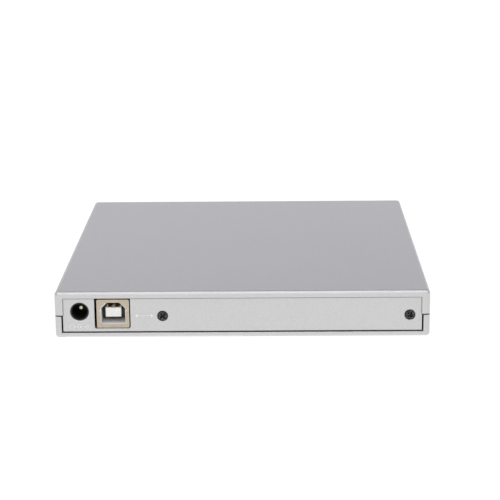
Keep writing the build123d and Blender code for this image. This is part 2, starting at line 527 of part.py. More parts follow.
with BuildPart() as tray_bezel:
    block((-BEZEL_X, BEZEL_X), (BEZEL_FACE_Y, TRAY_FRONT_Y), BEZEL_Z)
    fillet(tray_bezel.faces().sort_by(Axis.Y)[0].edges(), 0.9)
    # The pocket behind the button, and the openings for the three controls.
    for half_x, half_z, y in ((7.3, 2.2, (-72.0, -69.9)), (6.1, 1.5, (-75, -70))):
        pocket_z = (CONTROL_Z - half_z, CONTROL_Z + half_z)
        block((BUTTON_X - half_x, BUTTON_X + half_x), y, pocket_z, Mode.SUBTRACT)
    block((LED_X - 1.3, LED_X + 1.3), (-75, -69), (CONTROL_Z - 0.75, CONTROL_Z + 0.75), Mode.SUBTRACT)
    round_y(RELEASE_X, (-75, -69), CONTROL_Z, 0.65, Mode.SUBTRACT)
    # A fine horizontal groove across the face.
    block((-BEZEL_X, BEZEL_X), (-75, BEZEL_FACE_Y + 0.3), (11.6, 12.0), Mode.SUBTRACT)
save(tray_bezel, "tray_bezel")

with BuildPart() as led_lens:
    block((LED_X - 1.2, LED_X + 1.2), (BEZEL_FACE_Y - 0.1, -66.9), (CONTROL_Z - 0.65, CONTROL_Z + 0.65))
    fillet(led_lens.edges().group_by(Axis.Y)[0], 0.2)
save(led_lens, "led_lens")

with BuildPart() as eject_button:
    block((BUTTON_X - 5.9, BUTTON_X + 5.9), (-74.0, -71.2), (CONTROL_Z - 1.3, CONTROL_Z + 1.3))
    fillet(eject_button.faces().sort_by(Axis.Y)[0].edges(), 0.4)
    block((BUTTON_X - 7.0, BUTTON_X + 7.0), (-71.8, -71.2), (CONTROL_Z - 1.9, CONTROL_Z + 1.9))
    block((BUTTON_X - 1.9, BUTTON_X + 1.9), (-71.4, -66.2), (CONTROL_Z - 0.75, CONTROL_Z + 0.75))
save(eject_button, "eject_button")

with BuildPart() as eject_switch:
    block((BUTTON_X - 2.2, BUTTON_X + 2.2), (-64.9, -62.2), (6.8, 8.8))
    block((BUTTON_X - 0.9, BUTTON_X + 0.9), (-65.6, -64.8), (CONTROL_Z - 0.6, CONTROL_Z + 0.6))
save(eject_switch, "eject_switch")

with BuildPart() as front_board:
    block((18.0, 40.5), (-67.6, -61.0), (6.0, 6.8))
save(front_board, "front_board")

with BuildPart() as tray_shield:
    block((-56.5, 56.5), (-68.0, 48.3), SHIELD_Z)
    for x, y in SHIELD_SCREWS:
        round_z(x, y, SHIELD_Z, 0.95, Mode.SUBTRACT)
    block((37.0, 48.6), (-60.5, -54.0), SHIELD_Z, Mode.SUBTRACT)
    block((-26.5, -7.5), (40.6, 45.6), SHIELD_Z, Mode.SUBTRACT)
    with BuildSketch(TRAVERSE.offset(SHIELD_Z[0])):
        with Locations(*DAMPERS):
            Circle(2.6)
    extrude(amount=1, mode=Mode.SUBTRACT)
save(tray_shield, "tray_shield")

with BuildPart() as tray_board:
    with BuildSketch(Plane.XY.offset(6.6)):
        with BuildLine():
            Polyline(
                (14, 5), (55, 5), (55, 36), (45, 36), (45, 46), (-26, 46), (-26, 36), (14, 36), close=True
            )
        make_face()
    extrude(amount=0.8)
    for x in (-50.0, 50.0):
        round_z(x, 42.0, (6, 8), 2.6, Mode.SUBTRACT)
    block((36.4, 46), (35.5, 47), (6, 8), Mode.SUBTRACT)
save(tray_board, "tray_board")

with BuildPart() as tray_board_chips:
    chip((34.0, 22.0), 11.0, 1.4, 7.4, 9)
    chip((27.5, 32.6), 5.0, 1.2, 7.4, 4)
    chip((41.5, 10.8), 4.0, 1.2, 7.4, 3)
save(tray_board_chips, "tray_board_chips")

with BuildPart() as flex_header:
    block((-25.5, -8.5), (41.6, 45.0), (4.95, 6.6))
save(flex_header, "flex_header")

# A flat ribbon that lies folded in a long U between the drive's floor and the tray.
with BuildPart() as flex_cable:
    with BuildSketch(Plane.YZ.offset(-24.5)):
        with BuildLine():
            Polyline((50.8, 3.78), (-28.0, 4.15))
            ThreePointArc((-28.0, 4.15), (-28.32, 4.47), (-28.0, 4.79))
            Polyline((-28.0, 4.79), (41.5, 5.2), (41.5, 5.05), (-28.0, 4.64))
            ThreePointArc((-28.0, 4.64), (-28.17, 4.47), (-28.0, 4.30))
            Polyline((-28.0, 4.30), (50.8, 3.93), (50.8, 3.78))
        make_face()
    extrude(amount=15.0)
save(flex_cable, "flex_cable")

with BuildPart() as eject_spring:
    with BuildLine() as coil:
        Helix(2.1, 17.0, 1.5, center=(SPRING_X, 38.5, SPRING_Z), direction=(0, 1, 0))
    with BuildSketch(Plane(origin=coil.line @ 0, z_dir=coil.line % 0)):
        Circle(0.22)
    sweep(is_frenet=True)
save(eject_spring, "eject_spring")

with BuildPart() as latch_lever:
    with BuildSketch(Plane.XY.offset(6.1)):
        with Locations(LATCH_PIVOT):
            Circle(2.6)
        with BuildLine():
            Polyline((44.0, -41.0), (42.4, -57.9), (45.6, -57.9), (48.0, -41.0), close=True)
        make_face()
        with Locations(LATCH_PIVOT):
            Circle(1.25, mode=Mode.SUBTRACT)
    extrude(amount=0.8)
    block((42.6, 45.4), (-58.3, -57.1), (4.0, 6.9))
save(latch_lever, "latch_lever")

with BuildPart() as latch_solenoid:
    block((24.0, 34.5), (-58.0, -47.0), (6.0, 9.8))
    round_x((24.5, 38.0), -52.5, 7.9, 1.2)
    fillet(latch_solenoid.faces().sort_by(Axis.Z)[-1].edges(), 0.4)
save(latch_solenoid, "latch_solenoid")

# ==== Traverse ==========================================================================

with BuildPart(TRAVERSE) as traverse_frame:
    plate_u, beam_v = 64.0, 16.4
    block((0.0, plate_u), (-beam_v, beam_v), FRAME_Z)
    block((60.0, 66.0), (-14.2, 14.2), FRAME_Z)
    round_z(0, 0, FRAME_Z, 16.4)
    for u, v in DAMPERS:
        round_z(u, v, FRAME_Z, 3.2)
    # Arms out to the three dampers, and the shelf for the motor and lead screw.
    block((-16.5, 0.0), (-14.5, 0.0), FRAME_Z)
    block((-11.0, 0.0), (0.0, 18.0), FRAME_Z)
    block((47.5, 52.5), (-19.5, -15.0), FRAME_Z)
    block((4.4, 62.0), (15.0, 22.2), FRAME_Z)
    block((16.6, 59.6), (17.0, 23.0), FRAME_Z, Mode.SUBTRACT)
    block((17.0, 61.6), (-12.0, 12.0), FRAME_Z, Mode.SUBTRACT)
    for u, v in DAMPERS:
        round_z(u, v, FRAME_Z, 1.0, Mode.SUBTRACT)
    # Uprights that hold the ends of the two rods and the lead screw.
    for u in ((ROD_U[0], ROD_U[0] + 1.4), (ROD_U[1] - 1.3, ROD_U[1])):
        for v in (-ROD_V, ROD_V):
            block(u, (v - 1.4, v + 1.4), (FRAME_Z[1], 9.9))
            round_x(u, v, ROD_Z, ROD_R + 0.02, Mode.SUBTRACT)
    block((60.2, 61.6), (SCREW_V - 1.8, SCREW_V + 1.8), (FRAME_Z[1], 9.9))
    round_x((60.0, 61.7), SCREW_V, SCREW_AXIS_Z, 0.73, Mode.SUBTRACT)
save(traverse_frame, "traverse_frame")

with BuildPart(TRAVERSE) as guide_rods:
    for v in (-ROD_V, ROD_V):
        round_x(ROD_U, v, ROD_Z, ROD_R)
save(guide_rods, "guide_rods")

with BuildPart(TRAVERSE) as damper_grommets:
    for u, v in DAMPERS:
        round_z(u, v, (FRAME_Z[1], 7.4), 2.5)
        round_z(u, v, (6.75, 6.95), 2.6, Mode.SUBTRACT)
        round_z(u, v, (6.75, 6.95), 2.1)
        round_z(u, v, (FRAME_Z[1], 7.4), 0.95, Mode.SUBTRACT)
save(damper_grommets, "damper_grommets")

# One kind of screw holds the traverse to the tray and the shield under both.
with BuildPart() as tray_screws:
    damper_at = [TRAVERSE.from_local_coords((u, v, 0)) for u, v in DAMPERS]
    seats = [(x, y, SHIELD_Z[0]) for x, y in SHIELD_SCREWS] + [(p.X, p.Y, FRAME_Z[0]) for p in damper_at]
    for x, y, z in seats:
        round_z(x, y, (z - 0.45, z), 1.9)
        round_z(x, y, (z, z + 3.1), 0.8)
        cross_recess(2.0, 0.5, (x, y, z - 0.45), (0, 0, 0))
save(tray_screws, "tray_screws")

with BuildPart(TRAVERSE) as traverse_cover:
    with BuildSketch(TRAVERSE.offset(10.7)):
        keyhole(19.5, 13.5, 67.0)
        Circle(14.3, mode=Mode.SUBTRACT)
        with Locations((40.5, 0)):
            Rectangle(49.0, 14.6, mode=Mode.SUBTRACT)
    extrude(amount=0.4)
save(traverse_cover, "traverse_cover")

with BuildPart(TRAVERSE) as spindle_stator:
    round_z(0, 0, (FRAME_Z[1], 7.1), 12.8)
    round_z(0, 0, (7.1, 9.3), 2.8)
    # Nine wound teeth round the bearing.
    with PolarLocations(5.3, 9):
        with Locations((0, 0, 8.15)):
            Box(5.6, 2.0, 1.7)
    round_z(0, 0, (6.9, 9.5), 1.53, Mode.SUBTRACT)
save(spindle_stator, "spindle_stator")

with BuildPart(TRAVERSE) as spindle_rotor:
    round_z(0, 0, (7.5, 10.3), 12.4)
    round_z(0, 0, (7.4, 9.7), 11.8, Mode.SUBTRACT)
    round_z(0, 0, (10.3, 11.6), 13.4)
    fillet(spindle_rotor.edges().filter_by(GeomType.CIRCLE).group_by(Axis.Z)[-1], 0.4)
    round_z(0, 0, (7.2, 9.8), 1.5)
save(spindle_rotor, "spindle_rotor")

with BuildPart(TRAVERSE) as rotor_magnet:
    round_z(0, 0, (7.6, 9.6), 11.75)
    round_z(0, 0, (7.5, 9.7), 9.6, Mode.SUBTRACT)
save(rotor_magnet, "rotor_magnet")

with BuildPart(TRAVERSE) as turntable_pad:
    round_z(0, 0, (11.6, SEAT_Z), 12.9)
    round_z(0, 0, (11.5, SEAT_Z + 1), 9.8, Mode.SUBTRACT)
save(turntable_pad, "turntable_pad")

with BuildPart(TRAVERSE) as disc_hub:
    round_z(0, 0, (11.6, HUB_TOP_Z), HUB_R)
    chamfer(disc_hub.edges().group_by(Axis.Z)[-1], 0.7)
    round_z(0, 0, (HUB_TOP_Z - 0.8, HUB_TOP_Z + 1), 3.0, Mode.SUBTRACT)
    # A radial bore for each of the three sprung balls.
    with PolarLocations(5.6, 3):
        with Locations((0, 0, BALL_Z)):
            Cylinder(BALL_R + 0.05, 4.4, rotation=(0, 90, 0), mode=Mode.SUBTRACT)
save(disc_hub, "disc_hub")

for turn, letter in ((0, "a"), (120, "b"), (240, "c")):
    with BuildPart(TRAVERSE) as chuck_ball:
        with PolarLocations(BALL_AT_R, 1, start_angle=turn):
            with Locations((0, 0, BALL_Z)):
                Sphere(BALL_R)
    save(chuck_ball, f"chuck_ball_{letter}")

with BuildPart(TRAVERSE) as sled_motor:
    block((4.6, 15.4), (SCREW_V - 2.8, SCREW_V + 2.8), (FRAME_Z[1], 10.1))
    fillet(sled_motor.edges().filter_by(Axis.Y.__class__((0, 0, 0), (-1, -1, 0))), 1.4)
    round_x((14.0, 16.0), SCREW_V, SCREW_AXIS_Z, 0.73, Mode.SUBTRACT)
save(sled_motor, "sled_motor")

with BuildPart(TRAVERSE) as lead_screw:
    round_x(SCREW_U, SCREW_V, SCREW_AXIS_Z, 0.7)
    round_x((16.2, 59.8), SCREW_V, SCREW_AXIS_Z, SCREW_R)
    chamfer(lead_screw.edges().filter_by(GeomType.CIRCLE), 0.12)
save(lead_screw, "lead_screw")

with BuildPart(TRAVERSE) as pickup_sled:
    block((16.6, 29.5), (-12.4, 12.4), (6.6, 9.8))
    fillet(pickup_sled.edges().filter_by(Axis.Z), 1.5)
    # Two eyes on one rod, one on the other, and the nut arm beyond it.
    for u in ((17.8, 20.6), (25.5, 28.3)):
        block(u, (-ROD_V, -12.0), (7.4, 9.4))
        round_x(u, -ROD_V, ROD_Z, 1.75)
        round_x(u, -ROD_V, ROD_Z, ROD_R + 0.04, Mode.SUBTRACT)
    block((20.0, 25.8), (12.0, 18.7), (6.8, 10.0))
    round_x((19.0, 27.0), ROD_V, ROD_Z, ROD_R + 0.04, Mode.SUBTRACT)
    round_x((19.0, 27.0), SCREW_V, SCREW_AXIS_Z, SCREW_R + 0.08, Mode.SUBTRACT)
    # The pocket that the lens holder floats in, and the beam window under it.
    block((20.6, 27.4), (-5.2, 5.2), (8.6, 10.0), Mode.SUBTRACT)
    round_z(LENS_U, 0, (6.5, 9.0), 2.2, Mode.SUBTRACT)
save(pickup_sled, "pickup_sled")

with BuildPart(TRAVERSE) as pickup_magnets:
    for v in ((-6.9, -5.3), (5.3, 6.9)):
        block((21.6, 26.4), v, (9.8, 10.5))
save(pickup_magnets, "pickup_magnets")

with BuildPart(TRAVERSE) as lens_holder:
    block((21.2, 26.8), (-4.6, 4.6), (9.1, 10.8))
    fillet(lens_holder.edges().filter_by(Axis.Z), 0.8)
    round_z(LENS_U, 0, (9.0, 11.0), 1.9, Mode.SUBTRACT)
save(lens_holder, "lens_holder")

# The domed top is part of a sphere, trimmed by the lens's own cylinder.
with BuildPart(TRAVERSE) as objective_lens:
    with Locations((LENS_U, 0, 8.67)):
        Sphere(2.48)
    round_z(LENS_U, 0, (9.6, 12.0), 1.87, Mode.INTERSECT)
save(objective_lens, "objective_lens")
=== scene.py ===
import json
import math

import bmesh
import bpy
from mathutils import Matrix, Vector


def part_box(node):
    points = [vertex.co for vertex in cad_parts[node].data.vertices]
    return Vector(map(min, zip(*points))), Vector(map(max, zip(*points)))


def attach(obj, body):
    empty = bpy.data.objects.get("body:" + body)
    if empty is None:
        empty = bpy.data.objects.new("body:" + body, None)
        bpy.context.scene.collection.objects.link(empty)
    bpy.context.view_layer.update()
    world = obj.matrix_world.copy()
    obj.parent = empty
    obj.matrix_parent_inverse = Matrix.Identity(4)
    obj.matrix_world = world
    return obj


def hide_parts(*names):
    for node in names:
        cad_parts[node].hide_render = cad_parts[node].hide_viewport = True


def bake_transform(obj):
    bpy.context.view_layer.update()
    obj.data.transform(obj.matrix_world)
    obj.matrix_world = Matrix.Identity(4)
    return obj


# The looks of a slim external optical drive. Metres; +Z up, rear panel towards +Y.

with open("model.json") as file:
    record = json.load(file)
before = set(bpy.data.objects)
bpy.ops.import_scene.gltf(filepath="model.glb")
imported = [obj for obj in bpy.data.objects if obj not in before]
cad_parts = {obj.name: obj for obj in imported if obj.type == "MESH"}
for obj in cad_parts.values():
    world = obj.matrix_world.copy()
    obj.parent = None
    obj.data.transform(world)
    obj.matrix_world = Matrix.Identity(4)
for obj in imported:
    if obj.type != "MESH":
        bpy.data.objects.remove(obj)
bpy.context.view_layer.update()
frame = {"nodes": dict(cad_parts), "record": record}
nodes = frame["nodes"]


# ---- Materials: node graphs in object coordinates, so they move with their pieces

SOCKETS = {
    "color": "Base Color", "rough": "Roughness", "metal": "Metallic", "ior": "IOR",
    "coat": "Coat Weight", "coat_rough": "Coat Roughness", "clear": "Transmission Weight",
    "glow": "Emission Strength", "glow_color": "Emission Color",
    "specular": "Specular IOR Level", "brushed": "Anisotropic",
}
# Most values of a noise lie between these two.
NOISE_LOW, NOISE_HIGH = 0.3, 0.7


def rgba(value):
    """A colour tuple gets its alpha; a node socket passes through."""
    return (*value, 1.0) if isinstance(value, tuple) and len(value) == 3 else value


def shade(color, factor):
    return tuple(min(1.0, c * factor) for c in color)


class Graph:
    """Short helpers for the nodes of one tree."""

    def __init__(self, tree):
        self.tree = tree

    def node(self, kind, **settings):
        made = self.tree.nodes.new(kind)
        for key, value in settings.items():
            setattr(made, key, value)
        return made

    def link(self, value, socket):
        if isinstance(value, (int, float, tuple)):
            socket.default_value = value
        else:
            self.tree.links.new(value, socket)

    def span(self, value, low, high, to_low=0.0, to_high=1.0):
        """The range low to high becomes to_low to to_high, and stops there."""
        made = self.node("ShaderNodeMapRange")
        self.link(value, made.inputs["Value"])
        limits = {"From Min": low, "From Max": high, "To Min": to_low, "To Max": to_high}
        for key, number in limits.items():
            made.inputs[key].default_value = number
        return made.outputs["Result"]

    def spread(self, noise, to_low=0.0, to_high=1.0):
        return self.span(noise, NOISE_LOW, NOISE_HIGH, to_low, to_high)

    def math(self, operation, a, b=0.0):
        made = self.node("ShaderNodeMath", operation=operation)
        self.link(a, made.inputs[0])
        self.link(b, made.inputs[1])
        return made.outputs["Value"]

    def product(self, first, *others):
        for other in others:
            first = self.math("MULTIPLY", first, other)
        return first

    def within(self, value, low, high):
        """1 between the limits, 0 outside them."""
        above = self.math("GREATER_THAN", value, low)
        return self.product(above, self.math("LESS_THAN", value, high))

    def mix(self, factor, a, b):
        made = self.node("ShaderNodeMix", data_type="RGBA")
        color_a, color_b = 6, 7
        self.link(factor, made.inputs[0])
        self.link(rgba(a), made.inputs[color_a])
        self.link(rgba(b), made.inputs[color_b])
        return made.outputs[2]

    def split(self, vector):
        made = self.node("ShaderNodeSeparateXYZ")
        self.link(vector, made.inputs["Vector"])
        return made.outputs["X"], made.outputs["Y"], made.outputs["Z"]


class Look(Graph):
    """A new material: its surface shader, and textures placed on the object."""

    def __init__(self, name):
        self.material = bpy.data.materials.new(name)
        self.material.use_nodes = True
        super().__init__(self.material.node_tree)
        self.bsdf = self.tree.nodes["Principled BSDF"]
        self.place = self.node("ShaderNodeTexCoord").outputs["Object"]

    def axes(self):
        return self.split(self.place)

    def stretched(self, scale, turn=(0, 0, 0)):
        mapping = self.node("ShaderNodeMapping")
        self.link(self.place, mapping.inputs["Vector"])
        mapping.inputs["Scale"].default_value = scale
        mapping.inputs["Rotation"].default_value = turn
        return mapping.outputs["Vector"]

    def texture(self, kind, place=None, inputs=None, **settings):
        made = self.node(kind, **settings)
        self.link(place or self.place, made.inputs["Vector"])
        for key, number in (inputs or {}).items():
            made.inputs[key].default_value = number
        return made.outputs

    def noise(self, scale, detail=3.0, rough=0.55, place=None):
        inputs = {"Scale": scale, "Detail": detail, "Roughness": rough}
        return self.texture("ShaderNodeTexNoise", place, inputs)["Fac"]

    def cells(self, scale, output="Distance", **settings):
        return self.texture("ShaderNodeTexVoronoi", None, {"Scale": scale}, **settings)[output]

    def bands(self, scale, direction, place=None, distortion=0.0, profile="SIN"):
        return self.texture(
            "ShaderNodeTexWave", place, {"Scale": scale, "Distortion": distortion},
            wave_type="BANDS", bands_direction=direction, wave_profile=profile)["Fac"]

    def channels(self, color):
        made = self.node("ShaderNodeSeparateColor")
        self.link(color, made.inputs["Color"])
        return made.outputs["Red"], made.outputs["Green"]

    def crevice(self, reach, low, high):
        """Ambient occlusion for painted shade: 0 deep in a gap or corner, 1 in the open."""
        made = self.node("ShaderNodeAmbientOcclusion", samples=8)
        made.inputs["Distance"].default_value = reach
        return self.span(made.outputs["AO"], low, high)

    def bump(self, height, distance, strength):
        made = self.node("ShaderNodeBump")
        self.link(height, made.inputs["Height"])
        made.inputs["Distance"].default_value = distance
        made.inputs["Strength"].default_value = strength
        self.link(made.outputs["Normal"], self.bsdf.inputs["Normal"])

    def set(self, **values):
        for key, value in values.items():
            socket = self.bsdf.inputs[SOCKETS[key]]
            self.link(rgba(value) if "color" in key else value, socket)


# How far the rear panel lies inside the cover's rear edge.
PANEL_RECESS = 0.0004
# The raised marks on the panel: the band in front of it in which they get a painted highlight, and
# the area's corner, from x = 0 and z = 0, that holds them all.
MARK_FOOT, MARK_FACE = 0.00008, 0.00022
MARKS_X, MARKS_Z = 0.0652, 0.013
# Colour of the painted highlight on the raised marks.
MARK_HIGHLIGHT = (0.87, 0.87, 0.86)


def silver_paint(name, color):
    """Moulded plastic under fine silver paint: tiny flakes, faint clouds, slight orange peel."""
    g = Look(name)
    tilt, flake = g.channels(g.cells(7000.0, output="Color"))
    sparkle = g.span(g.noise(2900.0, 3.0, 0.7), 0.35, 0.65)
    base = g.mix(g.spread(g.noise(26.0, 4.0)), shade(color, 0.985), shade(color, 1.015))
    base = g.mix(sparkle, base, shade(color, 1.12))
    # Painted highlight: the raised marks are painted paler than the paint around them, as if
    # catching light.
    x, y, z = g.axes()
    panel_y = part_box("top_cover")[1].y - PANEL_RECESS
    proud = g.within(y, panel_y + MARK_FOOT, panel_y + MARK_FACE)
    marks = g.product(proud, g.within(z, 0.0, MARKS_Z), g.within(x, 0.0, MARKS_X))
    base = g.mix(marks, base, MARK_HIGHLIGHT)
    # Painted shade: the paint darkens in gaps, grooves and corners.
    g.set(color=g.mix(g.crevice(0.0014, 0.15, 0.70), shade(color, 0.60), base))
    g.set(rough=g.span(tilt, 0.0, 1.0, 0.40, 0.50), metal=g.span(flake, 0.0, 1.0, 0.30, 0.42))
    g.set(coat=0.42, coat_rough=0.20)
    peel = g.math("ADD", g.noise(900.0, 2.0), g.product(g.noise(6500.0, 1.0), 0.25))
    g.bump(peel, 0.000012, 0.6)
    return g.material


def moulded(name, color, grain, rough, scale=3800.0, shadow=None):
    """Injection-moulded plastic: spark-eroded grain, soft tone changes, painted shade in gaps given
    a shadow.
    """
    g = Look(name)
    base = g.mix(g.spread(g.noise(40.0, 3.0)), shade(color, 0.92), shade(color, 1.10))
    # Painted shade: gaps and corners darken towards the shadow colour.
    if shadow:
        base = g.mix(g.crevice(0.005, 0.05, 0.55), shadow, base)
    pits = g.noise(scale, 3.0, 0.6)
    g.set(color=base, rough=g.spread(pits, rough - 0.08, rough + 0.10), specular=0.45)
    g.bump(pits, grain, 0.8)
    return g.material


# Depths behind the face of the white socket insert over which painted shade darkens its sides, and
# then all of it.
SIDES_FROM, SIDES_TO = 0.0019, 0.0075
DEEP_FROM, DEEP_TO = 0.0060, 0.0090


def socket_white(name):
    """Glossy white moulding, with painted shade: sides darken deep in the cavity, upward faces stay
    bright.
    """
    g = Look(name)
    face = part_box("usb_socket_insulator")[1].y
    base = g.mix(g.spread(g.noise(300.0, 2.0)), (0.93, 0.93, 0.93), (0.96, 0.96, 0.96))
    # Painted shade: faces that do not turn up darken with depth and occlusion; all darkens far
    # back.
    upward = g.split(g.node("ShaderNodeNewGeometry").outputs["Normal"])[2]
    y = g.axes()[1]
    depth = g.span(y, face - SIDES_TO, face - SIDES_FROM, 1.0, 0.0)
    side = g.span(upward, 0.25, 0.75, 1.0, 0.0)
    hidden = g.math("SUBTRACT", 1.0, g.crevice(0.006, 0.10, 0.90))
    deep = g.product(g.span(y, face - DEEP_TO, face - DEEP_FROM, 1.0, 0.0), 0.8)
    painted_shade = g.math("MAXIMUM", g.product(depth, side, hidden), deep)
    g.set(color=g.mix(painted_shade, base, (0.10, 0.11, 0.10)))
    g.set(rough=g.spread(g.noise(900.0, 2.0), 0.30, 0.42), specular=0.45)
    g.bump(g.noise(1400.0, 2.0), 0.000006, 0.5)
    return g.material


def screw_black(name):
    """Black oxide on steel, with painted glints in bright spots and painted shade in the cross
    recess.
    """
    g = Look(name)
    # Painted glints: random bright, glossier spots on the black head.
    painted_glints = g.span(g.noise(2600.0, 3.0, 0.6), 0.45, 0.70)
    base = g.mix(painted_glints, (0.022, 0.022, 0.023), (0.24, 0.24, 0.25))
    # Painted shade: near black deep in the cross recess.
    g.set(color=g.mix(g.crevice(0.0010, 0.40, 0.98), (0.003, 0.003, 0.003), base))
    g.set(rough=g.span(painted_glints, 0.0, 1.0, 0.42, 0.26), metal=1.0)
    g.bump(g.noise(2400.0, 2.0), 0.000006, 0.6)
    return g.material


def sheet_metal(name, color, rough, grain=(30.0, 1500.0, 1500.0), depth=0.000006):
    """Rolled or ground metal: long fine scratches one way, and streaks nine times as wide."""
    g = Look(name)
    lines = g.noise(1.0, 3.0, 0.6, g.stretched(grain))
    streaks = g.noise(1.0, 2.0, 0.5, g.stretched(tuple(s / 9 for s in grain)))
    g.set(color=g.mix(g.spread(streaks), shade(color, 0.90), shade(color, 1.06)), metal=1.0)
    g.set(rough=g.spread(lines, rough - 0.07, rough + 0.09), brushed=0.35)
    g.bump(lines, depth, 0.7)
    return g.material


def plated(name, color, rough):
    """Plated metal: a bright skin with slight mottling and fine pits."""
    g = Look(name)
    g.set(color=g.mix(g.spread(g.noise(420.0, 4.0)), shade(color, 0.94), shade(color, 1.06)))
    g.set(rough=g.spread(g.noise(2600.0, 2.0), rough - 0.05, rough + 0.08), metal=1.0)
    g.bump(g.noise(3000.0, 2.0), 0.000004, 0.6)
    return g.material


def board(name):
    """A circuit board: green resist over copper tracks, with plated holes."""
    g = Look(name)
    patches = g.cells(170.0, output="Color", distance="CHEBYCHEV")
    which = g.channels(patches)[0]
    x, y, _ = g.axes()

    def parallel(position, per_metre):
        return g.math("LESS_THAN", g.math("FRACT", g.product(position, per_metre)), 0.38)

    # Bundles of parallel tracks: each square patch runs its own way, or is left bare.
    across, along = parallel(x, 1250.0), parallel(y, 1250.0)
    slant = parallel(g.math("ADD", x, y), 880.0)
    tracks = g.product(across, g.math("LESS_THAN", which, 0.32))
    tracks = g.math("ADD", tracks, g.product(along, g.within(which, 0.32, 0.64)))
    tracks = g.math("ADD", tracks, g.product(slant, g.within(which, 0.64, 0.80)))
    dots = g.span(g.cells(430.0), 0.10, 0.13, 1.0, 0.0)
    holes = g.product(dots, g.span(g.noise(160.0, 1.0), 0.56, 0.58))
    green = g.mix(g.spread(g.noise(90.0, 3.0)), (0.010, 0.085, 0.035), (0.014, 0.110, 0.046))
    green = g.mix(tracks, green, (0.026, 0.170, 0.070))
    g.set(color=g.mix(holes, green, (0.80, 0.78, 0.70)), metal=holes)
    g.set(rough=g.spread(g.noise(1400.0, 2.0), 0.22, 0.36), coat=0.35, coat_rough=0.15)
    g.bump(g.math("ADD", tracks, holes), 0.00001, 0.8)
    return g.material


def soft_rubber(name):
    """Black matt rubber with dust in its pores."""
    g = Look(name)
    pores = g.noise(2400.0, 4.0, 0.65)
    dust = g.span(g.noise(130.0, 5.0, 0.7), 0.52, 0.80, 0.0, 0.35)
    g.set(color=g.mix(dust, (0.022, 0.022, 0.023), (0.10, 0.10, 0.098)))
    g.set(rough=g.spread(pores, 0.66, 0.86), specular=0.3)
    g.bump(pores, 0.00003, 0.9)
    return g.material


def wound_copper(name):
    """Enamelled wire, wound in fine turns."""
    g = Look(name)
    wires = g.bands(1500.0, "Z", distortion=0.6)
    # Painted shade: the dark bands between the turns.
    g.set(color=g.mix(wires, (0.22, 0.075, 0.030), (0.80, 0.33, 0.15)), metal=0.85)
    g.set(rough=g.spread(g.noise(900.0), 0.24, 0.36), coat=0.4)
    g.bump(wires, 0.00005, 0.8)
    return g.material


# The traverse, with its lead screw, lies at a slant in the tray.
TRAVERSE_TURN = math.radians(-45)


def threaded(name, color):
    """A ground steel shaft with a fine rolled thread, running along the traverse."""
    g = Look(name)
    along = g.stretched((1.0, 1.0, 1.0), (0, 0, TRAVERSE_TURN))
    turns = g.bands(170.0, "Y", along, profile="TRI")
    # Painted shade: the thread's valleys are painted darker.
    g.set(color=g.mix(turns, shade(color, 0.55), color), metal=1.0)
    g.set(rough=g.spread(g.noise(1600.0), 0.18, 0.30))
    g.bump(turns, 0.0002, 0.9)
    return g.material


def coated_glass(name):
    """A pickup lens: clear, with a blue-violet coating that shows at a slant."""
    g = Look(name)
    slant = g.node("ShaderNodeLayerWeight")
    slant.inputs["Blend"].default_value = 0.4
    haze = g.spread(g.noise(700.0, 2.0), 0.0, 0.1)
    tint = g.mix(slant.outputs["Facing"], (0.75, 0.86, 1.0), (0.45, 0.30, 0.85))
    g.set(color=g.mix(haze, tint, (0.9, 0.9, 0.9)), rough=g.span(haze, 0.0, 0.1, 0.02, 0.07))
    g.set(clear=0.85, ior=1.6)
    return g.material


def light_pipe(name):
    """Frosted, slightly green acrylic."""
    g = Look(name)
    frost = g.noise(2200.0, 3.0)
    g.set(color=g.mix(g.spread(frost), (0.42, 0.66, 0.36), (0.55, 0.78, 0.46)))
    g.set(rough=g.spread(frost, 0.16, 0.32), clear=0.55, ior=1.49)
    g.bump(frost, 0.00001, 0.7)
    return g.material


def ribbon_film(name):
    """Amber polyimide film over thin copper conductors that run along the ribbon."""
    g = Look(name)
    copper = g.span(g.bands(330.0, "X"), 0.35, 0.65)
    film = g.mix(g.spread(g.noise(60.0, 3.0)), (0.50, 0.205, 0.030), (0.62, 0.275, 0.045))
    g.set(color=g.mix(copper, film, (0.72, 0.36, 0.13)), metal=g.product(copper, 0.45))
    g.set(rough=g.spread(g.noise(500.0), 0.16, 0.30), coat=0.6, coat_rough=0.1)
    g.bump(copper, 0.000015, 0.6)
    return g.material


def chip_epoxy(name):
    """Black moulding compound with a fine blasted grain."""
    g = Look(name)
    grain = g.noise(4200.0, 3.0, 0.7)
    g.set(color=g.mix(g.spread(grain), (0.016, 0.016, 0.017), (0.035, 0.035, 0.036)))
    g.set(rough=g.spread(grain, 0.42, 0.60))
    g.bump(grain, 0.00002, 0.9)
    return g.material


def label_film(name, low, high):
    """Silvered film with a thin dark border line and a faint grain."""
    g = Look(name)
    x, y, _ = g.axes()

    def inside(margin):
        wide = g.within(x, low.x + margin, high.x - margin)
        return g.product(wide, g.within(y, low.y + margin, high.y - margin))

    line_from, line_to = 0.0015, 0.0018
    border = g.math("SUBTRACT", inside(line_from), inside(line_to))
    grain = g.noise(1.0, 3.0, 0.6, g.stretched((60.0, 2200.0, 60.0)))
    film = g.mix(g.spread(grain), (0.50, 0.50, 0.51), (0.60, 0.60, 0.61))
    g.set(color=g.mix(border, film, (0.04, 0.04, 0.045)), metal=0.55)
    g.set(rough=g.spread(grain, 0.32, 0.44), coat=0.3)
    g.bump(grain, 0.000004, 0.5)
    return g.material


SILVER = (0.60, 0.60, 0.61)
SHEET_GRAIN = (700.0, 22.0, 700.0)

